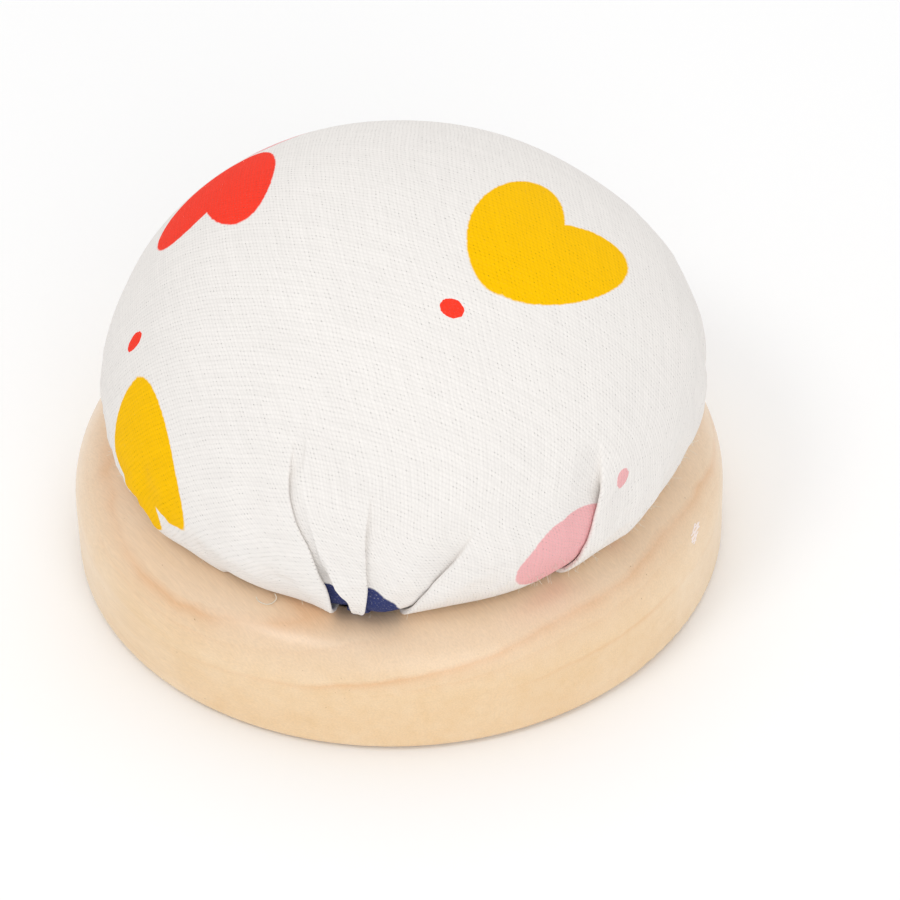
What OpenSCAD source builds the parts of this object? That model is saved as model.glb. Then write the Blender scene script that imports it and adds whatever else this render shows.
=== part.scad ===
// Pin cushion: a stuffed cotton dome glued into the seat of a turned wooden base.
// Millimetres, +Z up. The origin is the centre of the base's underside.

/* [Wooden base] */
// Outside diameter of the base
base_d = 68.9; // [64:0.1:76]
// Height of the base's rim above the table
base_h = 13; // [11:0.5:16]
// Radius of the rounded shoulder between the rim and the side
shoulder_r = 6; // [3:0.25:6.5]
// Radius of the eased edge round the underside
foot_r = 0.8; // [0.4:0.1:1.5]
// Diameter of the round seat that holds the cushion
seat_d = 54; // [50:0.5:55]
// Depth of the seat below the rim
seat_depth = 7; // [6:0.25:8]
// Radius of the eased edge round the seat's mouth
mouth_r = 0.5; // [0.2:0.1:0.7]

/* [Cushion] */
// Height of the whole pin cushion
total_h = 45; // [40:0.5:52]
// Widest diameter of the stuffed dome
belly_d = 63; // [60:0.5:66]
// Height of the dome's widest ring above the table
belly_z = 20; // [19:0.5:22]
// How far the cover stays inside the seat's wall
cover_gap = 0.4; // [0.2:0.1:0.8]
// Thickness of the cotton cover
cloth_t = 0.4; // [0.3:0.05:0.6]
// Space left between the cover and what it holds
lining_gap = 0.1; // [0.05:0.05:0.2]

/* [Gathered hem] */
// Diameter of the opening that the drawn hem leaves
hem_d = 25; // [20:0.5:30]
// Thickness of the gathered hem, where the cloth lies several layers deep
hem_t = 1.2; // [1:0.1:1.5]
// Width of the casing that the thread runs in, from the opening to its far side
casing_w = 1.6; // [1.4:0.1:2.4]
// Diameter of the gathering thread
thread_d = 0.5; // [0.4:0.05:0.6]
// Clearance round the thread in its casing
thread_gap = 0.05; // [0.03:0.01:0.1]
// Length of each loose end past the knot
thread_tail = 7; // [6:0.5:9]

/* [Backing and glue] */
// Thickness of the grey board that keeps the cushion's bottom flat
card_t = 1.5; // [1:0.1:2]
// Width of the ring of hot-melt glue
glue_w = 8; // [5:0.5:9]
// Height of the glue between the seat's floor and the hem
glue_h = 1; // [0.6:0.1:1.2]

/* [Hidden] */

$fn = 96;
base_r = base_d / 2;
seat_r = seat_d / 2;
seat_z = base_h - seat_depth;
belly_r = belly_d / 2;

// The cover stands on the glue. Its neck is the straight part inside the seat.
hem_z = seat_z + glue_h;
neck_r = seat_r - cover_gap;
// The lower bulge is an ellipse that reaches this far down and inwards from the widest ring.
bulge_h = 7.5;
bulge_w = 8.3;
// Angle below the widest ring at which the bulge meets the neck
neck_angle = acos((neck_r - belly_r + bulge_w) / bulge_w);
heel_r = 1.6;

// Thread in its casing: the ring's radius and height
ring_r = hem_d / 2 + casing_w / 2;
ring_z = hem_z + hem_t / 2;
// The casing has a slit where the two ends come out, meet in a knot and lie loose.
slit_w = 3.6;
slit_h = 0.9;
// The knot sits this far inside the opening's edge.
knot_in = 1.8;
knot_x = hem_d / 2 - knot_in;
// One end crosses over the other, this far above and below the ring's height.
cross_z = thread_d / 2 + 0.02;
// One end's way from the slit over the crossing to its tip: x from the knot, side, height
end_way = [
    [2.1, 0.9, 0.3],
    [1.5, 0.55, 0.7],
    [0.8, 0.25, 1],
    [0, -0.1, 1],
    [-0.8, -0.5, 0.9],
    [-2, -1.1, 0.4],
    [-4, -1.9, 0],
    [-thread_tail + 1, -2.3, -0.1],
    [-thread_tail, -2.4, -0.1]
];
thread_sides = 8;
casing_sides = 24;
// The ring leaves its casing this share of the slit's half width away from the middle.
slit_share = 0.8;
slit_angle = asin(slit_w / 2 / ring_r) * slit_share;
ring_steps = 64;
knot_steps = 14;
knot_r = 0.55;
// The loop of the knot lies this far from the crossing, towards the hem.
loop_shift = 0.2;

card_z = hem_z + hem_t + lining_gap;
fill_z = card_z + card_t + lining_gap;

// Cutting shapes reach this far past the surfaces that they cut.
past = 1;
dome_steps = 36;
bulge_steps = 14;
heel_steps = 6;

// Half outline of the cushion, from the top of the dome down to the hem's level.
// inset moves the outline in by that much, and floor_z is where it ends.
function cushion_outline(inset, floor_z) = concat(
    [for (i = [0 : dome_steps])
        let (a = 90 - 90 * i / dome_steps)
        [(belly_r - inset) * cos(a), belly_z + (total_h - belly_z - inset) * sin(a)]],
    [for (i = [1 : bulge_steps])
        let (a = neck_angle * i / bulge_steps)
        [belly_r - bulge_w + bulge_w * cos(a) - inset, belly_z - bulge_h * sin(a)]],
    [for (i = [0 : heel_steps])
        let (a = 90 * i / heel_steps)
        [neck_r - inset - heel_r + heel_r * cos(a), floor_z + heel_r - heel_r * sin(a)]]
);

module wooden_base() {
    color("burlywood")
    difference() {
        rotate_extrude()
        union() {
            // Body below the shoulder and inside the rounding
            translate([0, foot_r]) square([base_r, base_h - shoulder_r - foot_r]);
            square([base_r - foot_r, base_h - shoulder_r]);
            square([base_r - shoulder_r, base_h]);
            translate([base_r - foot_r, foot_r]) circle(r = foot_r);
            intersection() {
                translate([base_r - shoulder_r, base_h - shoulder_r]) circle(r = shoulder_r);
                translate([base_r - shoulder_r, 0]) square([shoulder_r, base_h]);
            }
        }
        translate([0, 0, seat_z]) cylinder(r = seat_r, h = base_h);
        seat_mouth();
    }
}

// What the eased edge of the seat's mouth takes away
module seat_mouth() {
    rotate_extrude()
    translate([seat_r, base_h - mouth_r])
    difference() {
        translate([-mouth_r, 0]) square([mouth_r * 2, mouth_r * 2]);
        translate([mouth_r, 0]) circle(r = mouth_r);
        translate([mouth_r, 0]) square([mouth_r * 2, mouth_r * 2]);
    }
}

module cushion_cover() {
    outer = cushion_outline(0, hem_z);
    inner = cushion_outline(cloth_t, hem_z + hem_t);
    color("snow")
    difference() {
        rotate_extrude() polygon(concat(outer, [[0, hem_z]]));
        rotate_extrude() polygon(concat(inner, [[0, hem_z + hem_t]]));
        translate([0, 0, hem_z - past]) cylinder(d = hem_d, h = hem_t + 2 * past);
        thread_casing();
    }
}

module fibre_filling() {
    color("white")
    rotate_extrude()
    polygon(concat(cushion_outline(cloth_t + lining_gap, fill_z), [[0, fill_z]]));
}

module backing_card() {
    color("darkgray")
    translate([0, 0, card_z])
    cylinder(r = neck_r - cloth_t - heel_r, h = card_t);
}

// Channel that the thread runs in, with the slit that its ends come out of
module thread_casing() {
    translate([0, 0, ring_z])
    rotate_extrude()
    translate([ring_r, 0])
    circle(d = thread_d + 2 * thread_gap, $fn = casing_sides);
    translate([hem_d / 2 - past, -slit_w / 2, ring_z - slit_h / 2])
    cube([ring_r + thread_d / 2 + thread_gap - hem_d / 2 + past, slit_w, slit_h]);
}

// Points of one end, on the side given as 1 or -1
function thread_end(side) = [
    for (p = end_way)
        [knot_x + p[0], side * p[1], ring_z + side * p[2] * cross_z]
];

function reversed(list) = [for (i = [len(list) - 1 : -1 : 0]) list[i]];

// The whole route: one tip, the crossing, once round the ring, the crossing and the other tip
function thread_route() = concat(
    reversed(thread_end(1)),
    [for (i = [0 : ring_steps])
        let (a = slit_angle + (360 - 2 * slit_angle) * i / ring_steps)
        [ring_r * cos(a), ring_r * sin(a), ring_z]],
    thread_end(-1)
);

function unit(v) = v / norm(v);

// Ring of points round a route's point i, square to the way that the route runs there
function tube_ring(route, i, r, sides) =
    let (
        before = route[max(i - 1, 0)],
        after = route[min(i + 1, len(route) - 1)],
        along = unit(after - before),
        across = unit(cross([0, 0, 1], along)),
        up = cross(along, across)
    )
    [for (k = [0 : sides - 1])
        let (a = 360 * k / sides)
        route[i] + r * (cos(a) * across + sin(a) * up)];

// Tube of radius r along an open route
module tube(route, r, sides) {
    last = (len(route) - 1) * sides;
    polyhedron(
        points = [for (i = [0 : len(route) - 1]) each tube_ring(route, i, r, sides)],
        faces = concat(
            [[for (k = [0 : sides - 1]) k]],
            [for (i = [0 : len(route) - 2], k = [0 : sides - 1])
                let (a = i * sides + k, b = i * sides + (k + 1) % sides)
                [a, a + sides, b + sides, b]],
            [[for (k = [sides - 1 : -1 : 0]) last + k]]
        )
    );
}

module gathering_thread() {
    color("ivory") {
        tube(thread_route(), thread_d / 2, thread_sides);
        thread_knot();
    }
}

// Loop that ties the two ends where they cross
module thread_knot() {
    translate([knot_x + loop_shift, 0, ring_z])
    rotate([0, 90, 0])
    rotate_extrude($fn = knot_steps)
    translate([knot_r, 0])
    circle(d = thread_d, $fn = thread_sides);
}

module glue_ring() {
    glue_mid = (neck_r + hem_d / 2) / 2;
    color("lightyellow")
    translate([0, 0, seat_z])
    difference() {
        cylinder(r = glue_mid + glue_w / 2, h = glue_h);
        translate([0, 0, -past]) cylinder(r = glue_mid - glue_w / 2, h = glue_h + 2 * past);
    }
}

wooden_base();
cushion_cover();
fibre_filling();
backing_card();
gathering_thread();
glue_ring();
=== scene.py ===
# Pin cushion: a stuffed cotton dome in a turned wooden base.
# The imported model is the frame; the soft pieces and all finishes are made here.
import math

import bpy
import numpy as np
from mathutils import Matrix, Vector


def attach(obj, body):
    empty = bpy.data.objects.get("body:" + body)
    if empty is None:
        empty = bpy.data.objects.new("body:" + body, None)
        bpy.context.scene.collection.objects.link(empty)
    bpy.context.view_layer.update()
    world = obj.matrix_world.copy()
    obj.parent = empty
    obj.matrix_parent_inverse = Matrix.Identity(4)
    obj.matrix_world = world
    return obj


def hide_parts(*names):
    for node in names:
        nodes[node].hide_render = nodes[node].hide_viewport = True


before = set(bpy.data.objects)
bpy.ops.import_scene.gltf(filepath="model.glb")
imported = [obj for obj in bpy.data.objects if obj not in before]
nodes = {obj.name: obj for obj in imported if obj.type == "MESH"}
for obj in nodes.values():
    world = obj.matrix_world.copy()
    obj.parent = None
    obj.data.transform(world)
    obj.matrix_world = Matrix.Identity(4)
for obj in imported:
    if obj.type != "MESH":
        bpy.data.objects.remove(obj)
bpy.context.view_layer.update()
mm = 0.001
chance = np.random.default_rng(7)


def linearColour(hexCode, alpha=1.0):
    # sRGB hex to the linear values that Blender's sockets take
    parts = [int(hexCode[i:i + 2], 16) / 255 for i in (1, 3, 5)]
    linear = [c / 12.92 if c <= 0.04045 else ((c + 0.055) / 1.055) ** 2.4 for c in parts]
    return (*linear, alpha)


def addNode(material, kind, settings=None, links=None):
    # links: input name or number -> (node, output name or number)
    tree = material.node_tree
    node = tree.nodes.new(kind)
    for name, value in (settings or {}).items():
        if isinstance(name, int) or name in node.inputs:
            node.inputs[name].default_value = value
        else:
            setattr(node, name, value)
    for name, (source, output) in (links or {}).items():
        tree.links.new(source.outputs[output], node.inputs[name])
    return node


def newMaterial(name):
    material = bpy.data.materials.new(name)
    material.use_nodes = True
    material.node_tree.nodes.clear()
    return material


def smoothCurve(x, knots):
    # a smooth line through the knots, flat beyond both ends
    along = np.array([k[0] for k in knots], float)
    value = np.array([k[1] for k in knots], float)
    slope = np.zeros(len(knots))
    if len(knots) > 2:
        slope[1:-1] = np.gradient(value, along)[1:-1]
    x = np.clip(x, along[0], along[-1])
    i = np.clip(np.searchsorted(along, x, side="right") - 1, 0, len(knots) - 2)
    gap = along[i + 1] - along[i]
    t = (x - along[i]) / gap
    return (value[i] * (1 + 2 * t) * (1 - t) ** 2 + slope[i] * gap * t * (1 - t) ** 2
            + value[i + 1] * t * t * (3 - 2 * t) + slope[i + 1] * gap * t * t * (t - 1))


def ramp(x, start, end):
    t = np.clip((x - start) / (end - start), 0, 1)
    return t * t * (3 - 2 * t)


def turnBetween(azimuth, other):
    return (azimuth - other + math.pi) % (2 * math.pi) - math.pi


def readVectors(items, name):
    values = np.zeros(len(items) * 3)
    items.foreach_get(name, values)
    return values.reshape(-1, 3)


def clearSelection():
    if bpy.context.object and bpy.context.object.mode != "OBJECT":
        bpy.ops.object.mode_set(mode="OBJECT")
    bpy.ops.object.select_all(action="DESELECT")


def makeActive(piece):
    clearSelection()
    piece.select_set(True)
    bpy.context.view_layer.objects.active = piece


def tidyMesh(piece, distance, angle=None):
    # merges doubles and turns every face outwards
    makeActive(piece)
    bpy.ops.object.mode_set(mode="EDIT")
    bpy.ops.mesh.select_all(action="SELECT")
    bpy.ops.mesh.remove_doubles(threshold=distance)
    bpy.ops.mesh.normals_make_consistent(inside=False)
    bpy.ops.object.mode_set(mode="OBJECT")
    if angle is None:
        bpy.ops.object.shade_smooth()
    else:
        bpy.ops.object.shade_smooth_by_angle(angle=math.radians(angle))


def applyModifier(piece, kind, **settings):
    makeActive(piece)
    modifier = piece.modifiers.new(kind.title(), kind)
    for name, value in settings.items():
        setattr(modifier, name, value)
    bpy.ops.object.modifier_apply(modifier=modifier.name)


def finishPiece(piece, name, material, replaced=()):
    piece.name = name
    piece.data.name = name
    piece.data.materials.clear()
    piece.data.materials.append(material)
    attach(piece, "root")
    if replaced:
        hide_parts(*replaced)


view = {
    "place": (0.0, -343.4, 310.8),   # 450 mm from the cushion, 40 degrees up
    "aim": (5.41, -4.82, 14.31),
    "roll": -1.43,
    "lens": 172.0,
}
camera = bpy.data.cameras.new("camera")
cameraObject = bpy.data.objects.new("camera", camera)
bpy.context.scene.collection.objects.link(cameraObject)
camera.lens = view["lens"]
camera.sensor_width = 36
camera.clip_start = 0.01
cameraObject.location = Vector(view["place"]) * mm
lineOfSight = Vector(view["aim"]) - Vector(view["place"])
cameraObject.rotation_euler = lineOfSight.to_track_quat("-Z", "Y").to_euler()
cameraObject.rotation_euler.rotate_axis("Z", math.radians(view["roll"]))
bpy.context.scene.camera = cameraObject
bpy.context.scene.view_settings.view_transform = "Standard"

light = {
    "sky": 0.73,
    "panels": [
        # name, place in mm, size in mm, power in W
        ("softLeft", (-290, -230, 580), 200, 0.55),
        ("softFront", (150, -600, 330), 500, 0.9),
        ("softTop", (60, 240, 700), 700, 0.9),
    ],
}
world = bpy.data.worlds.new("studio")
world.use_nodes = True
world.node_tree.nodes["Background"].inputs["Color"].default_value = (1, 1, 1, 1)
world.node_tree.nodes["Background"].inputs["Strength"].default_value = light["sky"]
bpy.context.scene.world = world
for name, place, size, power in light["panels"]:
    lamp = bpy.data.lights.new(name, "AREA")
    lamp.shape = "DISK"
    lamp.size = size * mm
    lamp.energy = power
    lampObject = bpy.data.objects.new(name, lamp)
    bpy.context.scene.collection.objects.link(lampObject)
    lampObject.location = Vector(place) * mm
    lampObject.rotation_euler = (Vector((0, 0, 20)) - Vector(place)).to_track_quat("-Z", "Y").to_euler()

floorPaper = newMaterial("seamlessWhitePaper")   # matt studio paper: plain and pale
paperShader = addNode(floorPaper, "ShaderNodeBsdfPrincipled",
                      {"Base Color": linearColour("#FEFEFE"), "Roughness": 0.9, "Specular IOR Level": 0.1})
addNode(floorPaper, "ShaderNodeOutputMaterial", links={"Surface": (paperShader, 0)})
clearSelection()
bpy.ops.mesh.primitive_plane_add(size=6, location=(0, 0, -0.0002))
studioFloor = bpy.context.object
studioFloor.name = "studioFloor"
studioFloor.data.materials.append(floorPaper)
print("stage: camera, light and floor")


# The cushion's outline, from the apex down to the hem, in mm.
# "along" is the way over the cloth from the apex, so it is also the radius in the flat round of cloth.
cushionForm = {
    "top": 44.85,
    "belly": 31.45,
    "bellyHeight": 20.0,
    "pinch": 0.0125,          # how much slimmer than an ellipse the dome is at 45 degrees
    # from the belly down: the cloth comes down steeply, tucks in, rests on the rim and turns into the seat
    "tuck": [(31.45, 20), (31.3, 18.8), (30.75, 17.2), (29.95, 15.8), (29.1, 14.65), (28.35, 13.85),
             (27.7, 13.4), (27.05, 13.2), (26.5, 13.05), (26.15, 12.6), (26.05, 12.0)],
    "neck": 26.05,
    "heel": 1.7,
    "hemHeight": 7.3,
    "casingHeight": 0.8,      # the hem is turned back over the thread
    "hemRadius": 12.5,
    "turnBack": 3.2,          # how far the hem's edge lies outside the opening
    # height -> how far the whole ring at that height is shifted towards +X
    "lean": [(12.5, 0), (16, 0.45), (20, 0.7), (28, 1.1), (36, 0.15), (42, -1.45), (45, -2.6)],
    "puffs": [
        # azimuth, along, height, half width in degrees, half length
        (-148, 47, 0.25, 7, 3.0),
        (-131, 47, -0.5, 6, 3.0),
        (-114, 47, -0.65, 7, 3.0),
        (-104, 49.5, 0.55, 3, 2.5),
        (-95, 49, 0.8, 5, 2.5),
        (-77, 47, -0.2, 5, 3.0),
        (-62, 47, -0.35, 6, 3.0),
        (-46, 47, -0.45, 8, 3.0),
        (-26, 46, -0.6, 9, 3.5),
        (28, 47, 0.5, 12, 3.5),
        (96, 48, 0.5, 14, 3.5),
        (152, 47, 0.4, 12, 3.5),
    ],
    # faint unevenness of the stuffing: height in mm, waves round the cushion, twist along the cloth, start
    "lumps": [(0.10, 3, 0.16, 1.0), (0.07, 5, -0.21, 2.2)],
}


def cushionOutline(form):
    turn = np.radians(np.linspace(0, 90, 181))
    slim = 1 - form["pinch"] * np.sin(2 * turn) ** 2
    radius = [form["belly"] * np.sin(turn) * slim]
    height = [form["bellyHeight"] + (form["top"] - form["bellyHeight"]) * np.cos(turn) * slim]
    tuck = np.array(form["tuck"])
    reach = np.concatenate([[0], np.cumsum(np.hypot(*np.diff(tuck, axis=0).T))])
    steps = np.linspace(0, reach[-1], 90)[1:]
    radius.append(smoothCurve(steps, list(zip(reach, tuck[:, 0]))))
    height.append(smoothCurve(steps, list(zip(reach, tuck[:, 1]))))
    heel = form["heel"]
    down = np.linspace(height[-1][-1], form["hemHeight"] + heel, 20)[1:]
    radius.append(np.full(len(down), form["neck"]))
    height.append(down)
    turn = np.radians(np.linspace(0, 90, 16))[1:]
    radius.append(form["neck"] - heel + heel * np.cos(turn))
    height.append(form["hemHeight"] + heel - heel * np.sin(turn))
    fold = form["casingHeight"] / 2
    inward = np.linspace(form["neck"] - heel, form["hemRadius"] + fold, 30)[1:]
    radius.append(inward)
    height.append(np.full(len(inward), form["hemHeight"]))
    turn = np.radians(np.linspace(0, 180, 13))[1:]
    radius.append(form["hemRadius"] + fold - fold * np.sin(turn))
    height.append(form["hemHeight"] + fold - fold * np.cos(turn))
    back = np.linspace(form["hemRadius"] + fold, form["hemRadius"] + form["turnBack"], 6)[1:]
    radius.append(back)
    height.append(np.full(len(back), form["hemHeight"] + 2 * fold))
    radius, height = np.concatenate(radius), np.concatenate(height)
    along = np.concatenate([[0], np.cumsum(np.hypot(np.diff(radius), np.diff(height)))])
    return along, radius, height


outline = cushionOutline(cushionForm)
clothRadius = outline[0][-1]


def cushionPoint(azimuth, along, rise):
    # a point of the cushion's surface, moved out by rise along the normal; azimuth in radians, the rest in mm
    step = 0.25
    radius = np.interp(along, outline[0], outline[1])
    height = np.interp(along, outline[0], outline[2])
    ahead = along + step
    behind = along - step
    slopeRadius = np.interp(ahead, outline[0], outline[1]) - np.interp(behind, outline[0], outline[1])
    slopeHeight = np.interp(ahead, outline[0], outline[2]) - np.interp(behind, outline[0], outline[2])
    length = np.hypot(slopeRadius, slopeHeight)
    radius = radius - rise * slopeHeight / length
    height = height + rise * slopeRadius / length
    x = radius * np.cos(azimuth) + smoothCurve(height, cushionForm["lean"])
    return np.stack([x, radius * np.sin(azimuth), height], -1)


# Pleats, in order round the cushion.
# side: 1 where the cloth before the pleat lies on top, -1 where the cloth after it does.
# sink: how deep the cloth is drawn in beside the pleat, in mm.
# path: along -> azimuth of the edge that shows, in degrees.
# overlap: along -> how far the edge covers the cloth beneath, in mm.
pleats = [
    {"side": -1, "sink": 0.05,
     "path": [(44, -147), (48, -148.3), (60, -149)],
     "overlap": [(47.5, 0), (52, 0.5), (60, 1.6)]},
    {"side": 1, "sink": 0.0,
     "path": [(46, -134), (49.7, -131.5), (60, -131)],
     "overlap": [(51, 0), (54, 0.6), (60, 1.6)]},
    {"side": 1, "sink": 0.06,
     "path": [(28, -115.2), (32.5, -115.2), (35.4, -114.5), (38.1, -112.5), (40.9, -109.2),
              (43.4, -107.3), (45.9, -105.6), (50, -104.6), (60, -104)],
     "overlap": [(30, 0), (36, 0.35), (42, 0.9), (50, 2.2), (60, 2.4)]},
    {"side": -1, "sink": 0.0,
     "path": [(28, -111), (36, -110), (40.9, -106.3), (43.7, -104.3), (46.6, -101.4), (50, -100.4),
              (60, -100.4)],
     "overlap": [(42.5, 0), (45, 0.5), (50, 1.0), (60, 1.1)]},
    {"side": 1, "sink": 0.08,
     "path": [(34, -98.4), (38.3, -99), (42.5, -98.4), (45.2, -98), (48, -98.3), (60, -98.5)],
     "overlap": [(34.5, 0), (40, 0.4), (46, 0.9), (60, 1.1)]},
    {"side": -1, "sink": 0.22,
     "path": [(36, -74), (37.8, -76.8), (41.6, -81.2), (43.5, -84), (46.3, -87), (50, -89.8),
              (60, -91)],
     "overlap": [(38.5, 0), (44, 0.5), (49, 1.3), (60, 2.0)]},
    {"side": -1, "sink": 0.05,
     "path": [(34, -48.5), (36.7, -49.8), (40, -52.2), (43.5, -53.9), (46, -54.8), (50, -55.3),
              (60, -55.6)],
     "overlap": [(35, 0), (38.5, 0.5), (41.5, 2.3), (45, 4.3), (49, 6.3), (60, 7.0)]},
    {"side": 1, "sink": 0.12,
     "path": [(42, -35), (45.3, -37), (47.5, -40.2), (60, -41)],
     "overlap": [(43.5, 0), (48, 1.0), (60, 1.6)]},
    {"side": 1, "sink": 0.1,
     "path": [(42, -20), (50, -22), (60, -22)],
     "overlap": [(47, 0), (51, 0.8), (60, 1.6)]},
    {"side": -1, "sink": 0.15,
     "path": [(42, 3), (48, 1), (50, 0), (60, -1)],
     "overlap": [(43, 0), (48, 0.9), (60, 2.0)]},
    {"side": 1, "sink": 0.25,
     "path": [(32, 22), (40, 19), (46, 14), (50, 12), (60, 11)],
     "overlap": [(37, 0), (43, 0.9), (60, 2.2)]},
    {"side": -1, "sink": 0.25,
     "path": [(38, 34), (44, 31), (50, 27), (60, 25)],
     "overlap": [(39, 0), (46, 1.1), (60, 2.0)]},
    {"side": 1, "sink": 0.12,
     "path": [(43, 46), (50, 47), (60, 47)],
     "overlap": [(45, 0), (50, 0.8), (60, 1.6)]},
    {"side": -1, "sink": 0.25,
     "path": [(35, 66), (40, 67), (46, 71), (50, 73), (60, 74)],
     "overlap": [(36, 0), (42, 0.9), (60, 2.0)]},
    {"side": 1, "sink": 0.3,
     "path": [(30, 84), (36, 84), (42, 82), (50, 79), (60, 78)],
     "overlap": [(31, 0), (40, 1.1), (60, 2.3)]},
    {"side": -1, "sink": 0.2,
     "path": [(38, 98), (44, 94), (50, 90), (60, 89)],
     "overlap": [(39, 0), (46, 1.1), (60, 1.9)]},
    {"side": 1, "sink": 0.12,
     "path": [(44, 112), (50, 113), (60, 113)],
     "overlap": [(45.5, 0), (50, 0.8), (60, 1.6)]},
    {"side": 1, "sink": 0.15,
     "path": [(42, 131), (50, 134), (60, 134)],
     "overlap": [(44, 0), (50, 1.2), (60, 1.8)]},
    {"side": -1, "sink": 0.25,
     "path": [(34, 150), (42, 154), (50, 158), (60, 159)],
     "overlap": [(36, 0), (42, 1.0), (60, 2.1)]},
    {"side": 1, "sink": 0.15,
     "path": [(40, 172), (46, 170), (50, 168), (60, 166)],
     "overlap": [(43, 0), (48, 0.9), (60, 2.1)]},
    {"side": 1, "sink": 0.1,
     "path": [(42, 184), (50, 182), (60, 181)],
     "overlap": [(47, 0), (51, 0.8), (60, 1.8)]},
]

coverCloth = {
    "thickness": 0.2,
    "layerGap": 0.22,       # between the middles of two layers that lie on each other
    "bendSteps": 5,
    "layerSteps": 3,
    "panelStep": 1.0,       # mm between columns at the belly, away from the pleats
    "rows": [(0, 22, 0.9), (22, 30, 0.6), (30, 54, 0.38), (54, clothRadius, 0.75)],
    "fade": 5.0,            # how far from a pleat the step in height is spread out
    "valley": 5.0,          # half width of the hollow beside a pleat
}


def clothRows():
    rows = [np.array([0.0])]
    for start, end, step in coverCloth["rows"]:
        rows.append(np.linspace(start, end, max(2, round((end - start) / step) + 1))[1:])
    return np.concatenate(rows)


def pleatSection(pleat, along):
    # cross-section of one pleat at each row: across and rise, in mm, and the length of cloth in each step
    overlap = np.maximum(smoothCurve(along, pleat["overlap"]), 0)
    start = pleat["overlap"][0][0]
    closing = ramp(along, start - 3, start + 7)   # 0: the cloth is flat, 1: it lies folded
    # a little cloth everywhere, so that no step ever shrinks to nothing
    spare = 0.004 * along
    bend = math.pi / 2 * coverCloth["layerGap"] * ramp(along, start - 5, start + 9) + spare
    # from the bend's start to its outermost line
    crest = (0.5 * coverCloth["layerGap"] * ramp(along, start - 5, start + 9))[:, None]
    sizes = [(coverCloth["bendSteps"], bend, "in"), (coverCloth["layerSteps"], overlap + spare, "on"),
             (coverCloth["bendSteps"], bend, "out")]
    across, rise, cloth = [], [], []
    for steps, length, part in sizes:
        for k in range(steps):
            share = {"in": (k + 0.5) / steps, "on": 1.0, "out": 1 - (k + 0.5) / steps}[part]
            tilt = math.pi * closing * share
            across.append(length / steps * np.cos(tilt))
            rise.append(-length / steps * np.sin(tilt))
            cloth.append(length / steps)
    across, rise = [np.vstack([np.zeros_like(along), np.cumsum(a, 0)]).T for a in (across, rise)]
    cloth = np.array(cloth).T
    if pleat["side"] < 0:
        across = across[:, -1:] - across[:, ::-1]
        rise = rise[:, ::-1] - rise[:, -1:]
        cloth = cloth[:, ::-1]
        rise = rise + 0.6 * rise[:, :1] - 0.6 * rise[:, -1:]
        across = across - across[:, -1:] + crest
    else:
        rise = rise - 0.4 * rise[:, -1:]
        across = across - crest
    return across, rise, cloth


def gatheredCloth():
    # for every column of the cloth at every row: azimuth on the cushion, rise,
    # and azimuth in the flat round of cloth
    along = clothRows()
    radius = np.maximum(np.interp(along, outline[0], outline[1]), 0.4)
    sections = [pleatSection(p, along) for p in pleats]
    edges = [np.radians(smoothCurve(along, p["path"])) for p in pleats]
    azimuth, rise, cloth = [], [], []
    panels = []
    for i, (across, lift, length) in enumerate(sections):
        following = (i + 1) % len(pleats)
        here = edges[i][:, None] + across / radius[:, None]
        azimuth.append(here)
        rise.append(lift)
        cloth.append(length)
        nextAcross, nextLift, _ = sections[following]
        nextEdge = edges[following] + (2 * math.pi if i + 1 == len(pleats) else 0)
        begin = here[:, -1]
        end = nextEdge + nextAcross[:, 0] / radius
        belly = np.argmin(np.abs(along - 40))
        count = max(3, round((end - begin)[belly] * radius[belly] / coverCloth["panelStep"]))
        share = np.linspace(0, 1, count + 1)[None, :]
        panel = begin[:, None] + (end - begin)[:, None] * share
        width = ((end - begin) * radius)[:, None]
        fromBegin = width * share
        fromEnd = width * (1 - share)
        spread = np.minimum(coverCloth["fade"], 0.9 * width)
        covered = [np.abs(s[0][:, -1] - s[0][:, 0])[:, None] for s in (sections[i], sections[following])]
        covered[0] = covered[0] * (pleats[i]["side"] > 0)
        covered[1] = covered[1] * (pleats[following]["side"] < 0)
        lift = (sections[i][1][:, -1:] * (1 - ramp(fromBegin, covered[0] * 0.8, covered[0] + spread))
                + nextLift[:, :1] * (1 - ramp(fromEnd, covered[1] * 0.8, covered[1] + spread)))
        azimuth.append(panel[:, 1:])
        rise.append(lift[:, 1:])
        cloth.append(np.full((len(along), count), np.nan))
        panels.append(width[:, 0] / count)
    azimuth = np.hstack([azimuth[0][:, :1]] + [a[:, 1:] if k % 2 == 0 else a for k, a in enumerate(azimuth)])
    rise = np.hstack([rise[0][:, :1]] + [a[:, 1:] if k % 2 == 0 else a for k, a in enumerate(rise)])
    # the cloth that the pleats don't take up is shared out evenly over the panels between them
    folded = sum(c.sum(1) for k, c in enumerate(cloth) if k % 2 == 0)
    openCloth = sum(panels[k // 2] * c.shape[1] for k, c in enumerate(cloth) if k % 2 == 1)
    share = (2 * math.pi * along - folded) / openCloth
    for k in range(1, len(cloth), 2):
        cloth[k] = np.repeat((panels[k // 2] * share)[:, None], cloth[k].shape[1], 1)
    cloth = np.hstack(cloth) / np.maximum(along, 0.01)[:, None]
    flat = azimuth[:, :1] + np.hstack([np.zeros((len(along), 1)), np.cumsum(cloth, 1)])
    flat += (azimuth - flat).mean(1, keepdims=True)
    return along, azimuth, rise, flat


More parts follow.
